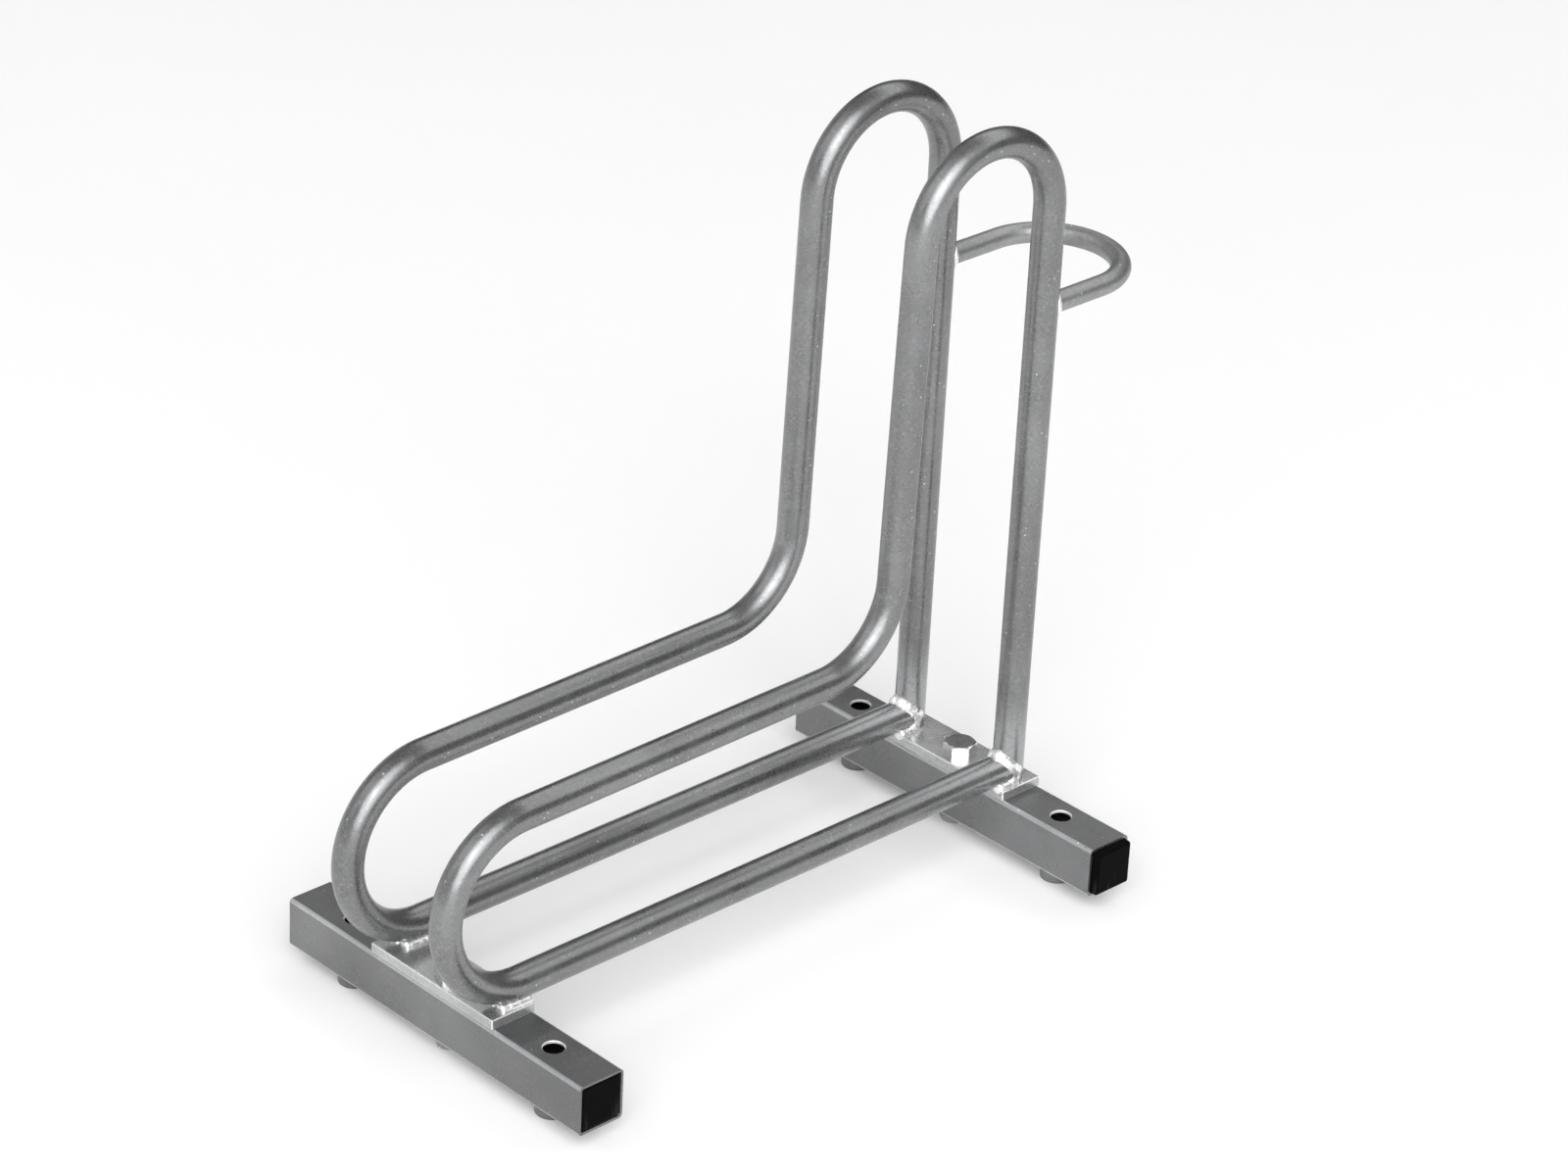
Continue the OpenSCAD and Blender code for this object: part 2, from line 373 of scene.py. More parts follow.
def zinc(
    name,
    colour,
    attribute=None,
    stretch=ALONG_BAR,
    rough=(0.23, 0.34),
    metallic=0.85,
    mottle=0.07,
    fleck=0.24,
    relief=0.2,
    painted_weld_highlight=False,
):
    """Hot-dip zinc: mottled and patchy, with drawn lines, a few pale specks and dark pits.

    The pattern follows a mesh attribute or the object, and its lines are stretched along the
    piece. Round the rear welds the zinc is painted paler: a painted highlight.
    """
    made = Finish(name, metallic, 0.3)
    if attribute:
        along = made.follow(attribute, stretch)
        plain = made.follow(attribute, EVEN)
    else:
        along = made.stretch(made.place, stretch)
        plain = made.place
    cloud = made.noise(45, 4, 0.6, plain)
    grain = made.noise(1100, 3, 0.6, plain)
    lines = made.noise(700, 2, 0.5, along)
    spangle = made.cells(750, plain)[1]
    speck_edge, speck = made.cells(330, plain)
    dot = made.math("MULTIPLY", made.ramp(speck_edge, 0.24, 0.12), made.ramp(speck, 0.955, 0.975))
    pit = made.math("MULTIPLY", made.ramp(speck_edge, 0.22, 0.1), made.ramp(speck, 0.02, 0.01))
    patch = made.noise(14, 2, 0.5)
    dark, pale = scaled(colour, 1 - mottle), scaled(colour, 1 + mottle)
    base = made.mix(made.ramp(cloud, 0.3, 0.7), dark, pale)
    base = made.mix(made.ramp(patch, 0.45, 0.75, 0.0, 0.5), base, scaled(colour, 1.45))
    base = made.mix(made.ramp(patch, 0.5, 0.25, 0.0, 0.5), base, scaled(colour, 0.7))
    base = made.mix(made.ramp(grain, 0.4, 0.7, 0.0, fleck), base, scaled(colour, 1.5))
    # Painted highlight: zinc round the rear welds is drawn paler than the rest of the tube.
    if painted_weld_highlight:
        spot = made.add("ShaderNodeSeparateXYZ", Vector=made.place).outputs
        rear, low = made.ramp(spot["X"], 0.11, 0.185), made.ramp(spot["Z"], 0.11, 0.07)
        highlight_zone = made.math("MULTIPLY", rear, low)
        base = made.mix(made.math("MULTIPLY", highlight_zone, 0.6), base, scaled(colour, 2.2))
    for share, factor in (
        (made.ramp(spangle, 0.8, 1.0, 0.0, fleck), 1.9),
        (made.ramp(spangle, 0.2, 0.0, 0.0, fleck), 0.55),
        (made.ramp(lines, 0.5, 0.8, 0.0, 0.2), 0.7),
        (dot, 2.6),
        (pit, 0.4),
    ):
        base = made.mix(share, base, scaled(colour, factor))
    rub = made.math("ADD", cloud, made.math("MULTIPLY", grain, 0.5))
    height = made.math("ADD", grain, made.math("MULTIPLY", made.math("ADD", lines, spangle), 0.3))
    normal = made.bump(height, relief, 0.00015)
    normal = made.bump(made.math("SUBTRACT", dot, pit), 0.4, 0.0002, normal)
    return made.finish(base, made.ramp(rub, 0.45, 1.0, *rough), normal)


def bare_edge_and_glint(name, colour):
    """Metal laid bare by the drill, with turning marks; its pale colour is partly a painted
    highlight.
    """
    made = Finish(name, 0.3, 0.42)
    marks = made.noise(900, 3, 0.6, made.stretch(made.place, (0.2, 0.2, 3)))
    base = made.mix(made.ramp(marks, 0.35, 0.7), scaled(colour, 0.7), colour)
    return made.finish(base, made.ramp(marks, 0.3, 0.7, 0.34, 0.5), made.bump(marks, 0.2, 0.0001))


def bright_zinc(name, colour):
    """Plated fastener: smooth, with stains and pale specks; its top is drawn darker, a painted
    shade.
    """
    made = Finish(name, 0.92, 0.2)
    height = made.add("ShaderNodeSeparateXYZ", Vector=made.place).outputs["Z"]
    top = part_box("rear_bolt")[1].z
    # Painted shade: the head's top, found by its height, is drawn darker than its sides.
    crown = made.ramp(height, top - 0.0004, top - 0.0001)
    stain = made.noise(260, 3, 0.6)
    speck_edge, speck = made.cells(700)
    dot = made.math("MULTIPLY", made.ramp(speck_edge, 0.3, 0.15), made.ramp(speck, 0.86, 0.9))
    base = made.mix(made.ramp(stain, 0.55, 0.75), colour, scaled(colour, 0.6))
    painted_top_shade = made.mix(made.ramp(stain, 0.35, 0.6), scaled(colour, 0.62), scaled(colour, 0.27))
    base = made.mix(crown, base, painted_top_shade)
    base = made.mix(dot, base, (0.95, 0.95, 0.95))
    shine = made.ramp(stain, 0.3, 0.7, 0.12, 0.24)
    normal = made.bump(made.noise(1500, 3), 0.06, 0.0001)
    return made.finish(base, shine, made.bump(stain, 0.1, 0.0002, normal))


def weld_metal(name, colour):
    """Zinc-coated weld bead: bright and smooth, with patches of dark scale."""
    made = Finish(name, 0.85, 0.24)
    scale = made.noise(300, 3, 0.6)
    base = made.mix(made.ramp(scale, 0.54, 0.72), colour, scaled(colour, 0.45))
    shine = made.ramp(made.noise(500, 2), 0.35, 0.65, 0.24, 0.38)
    normal = made.bump(made.noise(900, 3, 0.6), 0.06, 0.0002)
    return made.finish(base, shine, made.bump(scale, 0.08, 0.0004, normal))


def cap_plastic(name, colour):
    """Moulded black plastic with a fine grain, dust, and pale streaks towards the bottom."""
    made = Finish(name, 0.0, 0.42)
    made.shader.inputs["Specular IOR Level"].default_value = 0.02
    grain = made.noise(2200, 2)
    dust = made.noise(130, 4, 0.65)
    streaks = made.noise(420, 2, 0.5, made.stretch(made.place, (1, 1, 0.05)))
    height = made.add("ShaderNodeSeparateXYZ", Vector=made.place).outputs["Z"]
    low = made.ramp(height, 0.024, 0.012)
    # Pale streaks, drawn only towards the bottom of the cap.
    low_pale_streaks = made.math("MULTIPLY", made.ramp(streaks, 0.6, 0.72, 0.0, 0.35), low)
    base = made.mix(made.ramp(dust, 0.45, 0.8, 0.0, 0.6), colour, scaled(colour, 1.8))
    base = made.mix(low_pale_streaks, base, (0.09, 0.09, 0.09))
    shine = made.ramp(dust, 0.3, 0.7, 0.34, 0.52)
    normal = made.bump(grain, 0.18, 0.0001)
    return made.finish(base, shine, made.bump(streaks, 0.1, 0.0002, normal))


def floor_finish(name, colour):
    """Matt studio floor with a faint unevenness."""
    made = Finish(name, 0.0, 0.9)
    made.shader.inputs["Specular IOR Level"].default_value = 0.1
    haze = made.noise(3, 2)
    path = made.add("ShaderNodeLightPath").outputs
    seen = made.math("ADD", path["Is Camera Ray"], path["Is Glossy Ray"])
    seen = made.math("ADD", seen, path["Is Transmission Ray"])
    made.shader.inputs["Emission Color"].default_value = (1, 1, 1, 1)
    made.feed(made.shader.inputs["Emission Strength"], made.math("MULTIPLY", seen, FLOOR_GLOW))
    return made.finish(made.mix(made.ramp(haze, 0.3, 0.7), scaled(colour, 0.99), colour))


MATERIALS = {}


def material(name):
    """The stand's materials, made when first asked for."""
    if name not in MATERIALS:
        c = bpy.context.scene.stand_colours
        MATERIALS[name] = {
            # The tube loops carry the painted highlight round the rear welds.
            "galvanised_tube": lambda: zinc(name, c.tube, "straight", ALONG_TUBE, painted_weld_highlight=True),
            "galvanised_hoop": lambda: zinc(
                name,
                scaled(c.tube, 1.35),
                "straight",
                ALONG_TUBE,
                rough=(0.34, 0.46),
                metallic=0.72,
            ),
            "galvanised_bar": lambda: zinc(
                name, c.bar, rough=(0.25, 0.35), mottle=0.03, fleck=0.12, relief=0.16
            ),
            # Painted highlight: a paler copy of the bar's zinc for the bars' rounded corners.
            "painted_corner_highlight": lambda: zinc(
                name,
                scaled(c.bar, 2.2),
                rough=(0.28, 0.4),
                metallic=0.7,
                mottle=0.05,
                fleck=0.12,
                relief=0.16,
            ),
            "galvanised_plate": lambda: zinc(
                name,
                c.plate,
                rough=(0.2, 0.34),
                metallic=0.8,
                mottle=0.05,
                fleck=0.14,
                relief=0.16,
            ),
            # Painted highlight: a paler copy of the plate's zinc for the plates' rounded edges.
            "plate_edge": lambda: zinc(
                name,
                scaled(c.plate, 1.7),
                stretch=EVEN,
                rough=(0.2, 0.3),
                metallic=0.7,
                mottle=0.05,
                fleck=0.1,
                relief=0.16,
            ),
            # Painted shade: the nuts under the bars get the plating at three tenths of its colour.
            "painted_shade_zinc": lambda: bright_zinc(name, scaled(c.bright, 0.3)),
            "bare_edge_and_glint": lambda: bare_edge_and_glint(name, c.edge),
            "bright_zinc": lambda: bright_zinc(name, c.bright),
            "weld_metal": lambda: weld_metal(name, c.weld),
            "black_plastic": lambda: cap_plastic(name, c.plastic),
            "studio_floor": lambda: floor_finish(name, c.floor),
        }[name]()
    return MATERIALS[name]


def link(name, bm):
    """Puts a finished bmesh into the scene as an object at the origin."""
    mesh = bpy.data.meshes.new(name)
    bm.to_mesh(mesh)
    bm.free()
    obj = bpy.data.objects.new(name, mesh)
    bpy.context.scene.collection.objects.link(obj)
    return obj


def settle(obj):
    """Applies an object's modifiers to its mesh."""
    bpy.context.view_layer.update()
    shown = obj.evaluated_get(bpy.context.evaluated_depsgraph_get())
    settled = bpy.data.meshes.new_from_object(shown)
    obj.modifiers.clear()
    old, obj.data = obj.data, settled
    bpy.data.meshes.remove(old)


def shade(obj, sharp=35):
    """Smooth shading that keeps edges sharper than an angle, and flat faces flat."""
    for face in obj.data.polygons:
        face.use_smooth = True
    obj.data.set_sharp_from_angle(angle=math.radians(sharp))
    weighted = obj.modifiers.new("weighted", "WEIGHTED_NORMAL")
    weighted.keep_sharp = True
    weighted.weight = 90
    settle(obj)


def dress(obj, slot, body, *nodes, finish=None):
    """Gives a piece its finish and its body, and hides the CAD nodes that it stands for."""
    obj.data.materials.clear()
    obj.data.materials.append(material(finish or slot))
    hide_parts(*nodes)
    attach(obj, body)


def block(low, high):
    """A box from its low corner to its high corner."""
    bm = bmesh.new()
    matrix = Matrix.Translation((low + high) / 2) @ Matrix.Diagonal((*(high - low), 1))
    bmesh.ops.create_cube(bm, size=1, matrix=matrix)
    return bm


def arc(first, last, step):
    """Angles from the first to the last, given in degrees."""
    return [math.radians(degrees) for degrees in range(first, last + 1, step)]


def lathe(outline, place):
    """A turned solid: an outline of (radius, height) points spun about the z axis at a place."""
    bm = bmesh.new()
    points = [bm.verts.new((r, 0, z)) for r, z in outline]
    ends = zip(points, points[1:] + points[:1]) if outline[0][0] > 0 else zip(points, points[1:])
    edges = [bm.edges.new(pair) for pair in ends]
    bmesh.ops.spin(
        bm,
        geom=points + edges,
        cent=(0, 0, 0),
        axis=(0, 0, 1),
        angle=math.tau,
        steps=ROUND_STEPS,
        use_merge=True,
    )
    bmesh.ops.remove_doubles(bm, verts=bm.verts, dist=1e-7)
    bmesh.ops.recalc_face_normals(bm, faces=bm.faces)
    bmesh.ops.transform(bm, matrix=Matrix.Translation(place), verts=bm.verts)
    return bm


def carve(obj, cutter, how="DIFFERENCE"):
    """Cuts an object with a bmesh, or keeps what both share."""
    tool = link("cutter", cutter)
    cut = obj.modifiers.new("cut", "BOOLEAN")
    cut.operation = how
    cut.solver = "EXACT"
    cut.object = tool
    settle(obj)
    bpy.data.meshes.remove(tool.data)


def drill(radius, burr, low, high, place):
    """The shape that a drilled hole with broken edges leaves, from z low to z high."""
    past = radius + burr
    return lathe(
        [
            (0, low - burr),
            (past + burr, low - burr),
            (radius, low + burr),
            (radius, high - burr),
            (past + burr, high + burr),
            (0, high + burr),
        ],
        place,
    )


class Bender:
    """A ring of edges that is fed and bent into a round bar, as a pipe bender does."""

    def __init__(self, place, heading, side, diameter):
        self.place, self.heading, self.side = Vector(place), Vector(heading), Vector(side)
        self.bm = bmesh.new()
        self.straight = self.bm.verts.layers.float_vector.new("straight")
        across = self.across()
        ring = bmesh.ops.create_circle(
            self.bm, cap_ends=True, segments=TUBE_SIDES, radius=diameter / 2, matrix=across
        )
        for v in ring["verts"]:
            v[self.straight] = across.inverted() @ v.co
        self.edges = self.bm.edges[:]

    def across(self):
        """Matrix of the ring's own axes: across the bend, in the bend's plane, ahead."""
        axes = Matrix((self.side, self.heading.cross(self.side), self.heading)).transposed()
        return Matrix.Translation(self.place) @ axes.to_4x4()

    def grow(self, move, length, squeeze=(1, 1)):
        """Draws the ring out by one matrix, and squeezes it across and in the bend's plane."""
        grown = bmesh.ops.extrude_edge_only(self.bm, edges=self.edges)["geom"]
        verts = [g for g in grown if isinstance(g, bmesh.types.BMVert)]
        self.edges = [g for g in grown if isinstance(g, bmesh.types.BMEdge) and g.is_boundary]
        bmesh.ops.transform(self.bm, matrix=move, verts=verts)
        self.place = move @ self.place
        self.heading = (move.to_3x3() @ self.heading).normalized()
        bmesh.ops.scale(self.bm, vec=(*squeeze, 1), space=self.across().inverted(), verts=verts)
        for v in verts:
            v[self.straight] = v[self.straight] + Vector((0, 0, length))

    def feed(self, length):
        self.grow(Matrix.Translation(self.heading * length), length)

    def bend(self, angle, radius, thin=1.0, flat=0.0):
        """Bends by an angle about the side axis, thinner all round and flatter in the middle."""
        steps = round(abs(angle) / BEND_STEP)
        centre = self.place + self.side.cross(self.heading) * math.copysign(radius, angle)
        move = (
            Matrix.Translation(centre)
            @ Matrix.Rotation(angle / steps, 4, self.side)
            @ Matrix.Translation(-centre)
        )

        def size(step):
            """The ring's size across and in the bend's plane; it shrinks over the end eighths."""
            share = step / steps
            worn = 1 - (1 - thin) * min(1, 8 * share, 8 * (1 - share))
            return worn, worn * (1 - flat * math.sin(math.pi * share))

        for step in range(steps):
            before, after = size(step), size(step + 1)
            squeeze = (after[0] / before[0], after[1] / before[1])
            self.grow(move, abs(angle) * radius / steps, squeeze)

    def close(self, name):
        bmesh.ops.contextual_create(self.bm, geom=self.edges)
        bmesh.ops.recalc_face_normals(self.bm, faces=self.bm.faces)
        obj = link(name, self.bm)
        shade(obj, 50)
        return obj


def weld_bead(path, radius, seed):
    """Overlapping flattened drops along a path of points, melted into one rippled bead."""
    chance = random.Random(seed)
    ripple = bpy.context.scene.stand_sizes.ripple
    bm = bmesh.new()
    left = 0.0
    for start, end in zip(path, path[1:]):
        run = Vector(end) - Vector(start)
        axes = run.to_track_quat("Z", "Y").to_matrix().to_4x4()
        while left < run.length:
            jitter = Vector([chance.uniform(-1, 1) for _ in range(3)]) * radius * 0.03
            r = radius * chance.uniform(0.96, 1.04)
            tilt = Matrix.Rotation(math.radians(chance.uniform(12, 22)), 4, "X")
            place = Matrix.Translation(Vector(start) + run.normalized() * left + jitter)
            size = Matrix.Diagonal((r, r, max(ripple * 1.7, r * 0.62), 1))
            bmesh.ops.create_icosphere(
                bm, subdivisions=3, radius=1.0, matrix=place @ axes @ tilt @ size
            )
            left += ripple * chance.uniform(0.8, 1.15)
        left -= run.length
    return bm


def melt(name, beads):
    """Joins weld beads into one closed skin."""
    bm = bmesh.new()
    for bead in beads:
        part = bpy.data.meshes.new("bead")
        bead.to_mesh(part)
        bead.free()
        bm.from_mesh(part)
        bpy.data.meshes.remove(part)
    obj = link(name, bm)
    skin = obj.modifiers.new("skin", "REMESH")
    skin.mode = "VOXEL"
    skin.voxel_size = MELT_VOXEL
    smooth = obj.modifiers.new("smooth", "SMOOTH")
    smooth.factor = 0.5
    smooth.iterations = MELT_PASSES
    settle(obj)
    for face in obj.data.polygons:
        face.use_smooth = True
    return obj


class StandOperator:
    """What every operator of the stand shares."""

    bl_options = {"REGISTER", "UNDO"}

    def execute(self, context):
        self.build(context.scene.stand_sizes)
        return {"FINISHED"}


class STAND_OT_loops(StandOperator, bpy.types.Operator):
    """Bends the two tube loops that hold the wheel"""

    bl_idname = "stand.loops"
    bl_label = "Wheel loops"

    def build(self, s):
        radius = s.tube_d / 2
        leg_x = REAR_X - s.leg_setback
        top = Vector((leg_x - s.top_r, LOOP_TOP - radius - s.top_r))
        nose = Vector((FRONT_X + s.nose_start, PLATE_TOP + radius + s.nose_r))
        upright_in = Vector((-math.cos(s.lean), math.sin(s.lean)))
        run_in = Vector((-math.sin(s.rise), math.cos(s.rise)))
        down = Vector((-math.sin(s.lean), -math.cos(s.lean)))
        ahead = Vector((-math.cos(s.rise), -math.sin(s.rise)))
        gap = nose - top + (s.nose_r + s.knee_r) * run_in - (s.top_r + s.knee_r) * upright_in
        upright, run = Matrix((down, ahead)).transposed().inverted() @ gap
        thin = 1 - s.thinning / radius
        for name, side in SIDES:
            tube = Bender((leg_x, side * LOOP_Y, PLATE_TOP), (0, 0, 1), (0, -1, 0), s.tube_d)
            tube.feed(top.y - PLATE_TOP)
            tube.bend(math.pi - s.lean, s.top_r, thin, s.flattening)
            tube.feed(upright)
            tube.bend(s.rise + s.lean - math.pi / 2, s.knee_r, thin, s.flattening)
            tube.feed(run)
            tube.bend(math.pi - s.rise, s.nose_r, thin, s.flattening)
            tube.feed(leg_x - nose.x)
            dress(tube.close(f"{name}_loop_tube"), "galvanised_tube", "stand", f"{name}_wheel_loop")


class STAND_OT_hoop(StandOperator, bpy.types.Operator):
    """Bends the lock hoop behind the legs"""

    bl_idname = "stand.hoop"
    bl_label = "Lock hoop"

    def build(self, s):
        leg_x = REAR_X - s.leg_setback
        inside = s.tube_d / 2 - HOOP_SINK
        straight = s.hoop_reach - LOOP_Y - inside
        bar = Bender((leg_x + inside, -LOOP_Y, HOOP_Z), (1, 0, 0), (0, 0, 1), s.hoop_d)
        bar.feed(straight)
        bar.bend(math.pi, LOOP_Y)
        bar.feed(straight)
        hoop = bar.close("lock_hoop_bar")
        dress(hoop, "galvanised_tube", "stand", "lock_hoop", finish="galvanised_hoop")


class STAND_OT_plates(StandOperator, bpy.types.Operator):
    """Cuts the two flat plates that the loops are welded to"""

    bl_idname = "stand.plates"
    bl_label = "Plates"

    def build(self, s):
        for name, x in ENDS:
            low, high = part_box(f"{name}_plate")
            bm = block(low, high)
            bmesh.ops.bevel(
                bm,
                geom=bm.edges,
                offset=s.plate_edge,
                segments=3,
                affect="EDGES",
                profile=0.5,
                material=-1,
            )
            plate = link(f"{name}_flat_plate", bm)
            hole = s.bolt_d / 2 + s.bolt_play
            carve(plate, drill(hole, s.burr, low.z, high.z, (x, 0, 0)))
            shade(plate)
            dress(plate, "galvanised_bar", "stand", f"{name}_plate", finish="galvanised_plate")
            plate.data.materials.append(material("plate_edge"))
            # Painted highlight: the rounded edge faces take the paler edge finish.
            for face in plate.data.polygons:
                if max(map(abs, face.normal)) < 0.98:
                    face.material_index = 1


class STAND_OT_bars(StandOperator, bpy.types.Operator):
    """Draws the two square crossbars and drills their holes"""

    bl_idname = "stand.bars"
    bl_label = "Crossbars"

    def build(self, s):
        for name, x in ENDS:
            low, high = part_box(f"{name}_crossbar")
            bar = link(f"{name}_square_bar", self.skin(s.bar_corner, low, high))
            wall = bar.modifiers.new("wall", "SOLIDIFY")
            wall.thickness = s.bar_wall
            wall.offset = -1
            wall.use_even_offset = True
            settle(bar)
            for y, radius in (
                (middle(f"{name}_right_foot").y, s.fixing_d / 2),
                (0, s.bolt_d / 2 + s.bolt_play),
                (middle(f"{name}_left_foot").y, s.fixing_d / 2),
            ):
                carve(bar, drill(radius, s.burr, low.z, high.z, (x, y, 0)))
            shade(bar)
            dress(bar, "galvanised_bar", f"{name}_base", f"{name}_crossbar")
            bar.data.materials.append(material("bare_edge_and_glint"))
            bar.data.materials.append(material("painted_corner_highlight"))
            rim = s.fixing_d / 2 + 1.5 * s.burr
            for face in bar.data.polygons:
                slope = abs(face.normal.z)
                # Painted highlight: faces on the rounded corners take the paler corner finish.
                if abs(face.normal.y) < 0.1 and 0.2 < slope < 0.98:
                    face.material_index = 2
                # Walls round the foot holes take the bare metal finish, drawn pale as a painted
                # highlight.
                for foot, _ in SIDES:
                    off = face.center - middle(f"{name}_{foot}_foot")
                    if off.xy.length < rim and slope < 0.95:
                        face.material_index = 1

    def skin(self, corner, low, high):
        """The outside of the tube, from its right end to its left end."""
        centre = (low + high) / 2
        bm = bmesh.new()
        square = bmesh.ops.create_circle(
            bm,
            segments=4,
            radius=(high.x - low.x) / math.sqrt(2),
            matrix=Matrix.Translation((centre.x, low.y, centre.z))
            @ Matrix.Rotation(math.pi / 2, 4, "X")
            @ Matrix.Rotation(math.pi / 4, 4, "Z"),
        )["verts"]
        bmesh.ops.bevel(
            bm, geom=square, offset=corner, segments=8, affect="VERTICES", profile=0.5, material=-1
        )
        grown = bmesh.ops.extrude_edge_only(bm, edges=bm.edges)["geom"]
        verts = [g for g in grown if isinstance(g, bmesh.types.BMVert)]
        bmesh.ops.translate(bm, vec=(0, high.y - low.y, 0), verts=verts)
        bmesh.ops.recalc_face_normals(bm, faces=bm.faces)
        return bm


class STAND_OT_caps(StandOperator, bpy.types.Operator):
    """Moulds the four black end caps"""

    bl_idname = "stand.caps"
    bl_label = "End caps"

    def build(self, s):
        for end, _ in ENDS:
            for name, side in SIDES:
                node = f"{end}_{name}_cap"
                low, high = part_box(node)
                bm = block(low, high)
                back = min(bm.faces, key=lambda f: side * f.calc_center_median().y)
                outer = [e for e in bm.edges if e not in set(back.edges)]
                bmesh.ops.bevel(
                    bm,
                    geom=outer,
                    offset=s.cap_edge,
                    segments=6,
                    affect="EDGES",
                    profile=0.5,
                    material=-1,
                )
                back = min(bm.faces, key=lambda f: side * f.calc_center_median().y)
                bmesh.ops.inset_region(bm, faces=[back], thickness=s.cap_wall, use_even_offset=True)
                pushed = bmesh.ops.extrude_discrete_faces(bm, faces=[back])["faces"]
                depth = high.y - low.y - s.cap_wall
                bmesh.ops.translate(bm, vec=(0, side * depth, 0), verts=pushed[0].verts)
                bmesh.ops.recalc_face_normals(bm, faces=bm.faces)
                cap = link(f"{end}_{name}_end_cap", bm)
                shade(cap, 40)
                dress(cap, "black_plastic", f"{end}_base", node)


class STAND_OT_feet(StandOperator, bpy.types.Operator):
    """Turns the four round feet"""

    bl_idname = "stand.feet"
    bl_label = "Feet"

    def build(self, s):
        for end, _ in ENDS:
            for name, _ in SIDES:
                node = f"{end}_{name}_foot"
                low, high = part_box(node)
                outer, inner, edge = (high.x - low.x) / 2, s.fixing_d / 2, 2 * s.burr
                foot = link(
                    f"{end}_{name}_bush",
                    lathe(
                        [
                            (inner + edge, low.z),
                            (outer - edge, low.z),
                            (outer - edge * 0.3, low.z + edge * 0.3),
                            (outer, low.z + edge),
                            (outer, high.z - s.burr),
                            (outer - s.burr, high.z),
                            (inner, high.z),
                            (inner, low.z + edge),
                        ],
                        ((low.x + high.x) / 2, (low.y + high.y) / 2, 0),
                    ),
                )
                shade(foot, 50)
                dress(foot, "galvanised_bar", f"{end}_base", node)


class STAND_OT_bolts(StandOperator, bpy.types.Operator):
    """Makes the two clamp bolts and their nuts"""

    bl_idname = "stand.bolts"
    bl_label = "Bolts and nuts"

    def build(self, s):
        for name, x in ENDS:
            low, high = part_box(f"{name}_bolt")
            ends = (False, True)
            head = self.hexagon(f"{name}_hex_bolt", x, PLATE_TOP, high.z, s.head_turn, s, ends)
            shank = s.bolt_d / 2
            inside = PLATE_TOP + SHANK_IN_HEAD
            outline = [
                (0, low.z),
                (shank - TIP_CHAMFER, low.z),
                (shank, low.z + TIP_CHAMFER),
                (shank, inside),
                (0, inside),
            ]
            rod = link("shank", lathe(outline, (x, 0, 0)))
            join = bmesh.new()
            for part in (head, rod):
                join.from_mesh(part.data)
            bpy.data.meshes.remove(rod.data)
            join.to_mesh(head.data)
            join.free()
            shade(head, 25)
            dress(head, "bright_zinc", "stand", f"{name}_bolt")
            low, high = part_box(f"{name}_nut")
            nut = self.hexagon(f"{name}_hex_nut", x, low.z, high.z, 0, s, (True, True))
            carve(nut, drill(shank + THREAD_PLAY, 2 * s.burr, low.z, high.z, (x, 0, 0)))
            shade(nut, 25)
            # Painted shade: the nut under the bar takes the darker plating.
            dress(nut, "bright_zinc", "stand", f"{name}_nut", finish="painted_shade_zinc")

    def hexagon(self, name, x, low, high, turn, s, turned):
        """A hexagon with a corner on +X before its turn, and coned ends where asked."""
        corner = s.hex_af / math.sqrt(3)
        place = Matrix.Translation((x, 0, (low + high) / 2))
        bm = bmesh.new()
        bmesh.ops.create_cone(
            bm,
            cap_ends=True,
            segments=6,
            radius1=corner,
            radius2=corner,
            depth=high - low,
            matrix=place @ Matrix.Rotation(turn + math.pi / 2, 4, "Z"),
        )
        obj = link(name, bm)
        flat = s.hex_af / 2 * TURNED_SHARE
        past = corner * 1.05
        drop = (past - flat) * TURNED_SLOPE
        outline = [(0, low)]
        outline += [(flat, low), (past, low + drop)] if turned[0] else [(past, low)]
        outline += [(past, high - drop), (flat, high)] if turned[1] else [(past, high)]
        carve(obj, lathe([*outline, (0, high)], (x, 0, 0)), "INTERSECT")
        return obj


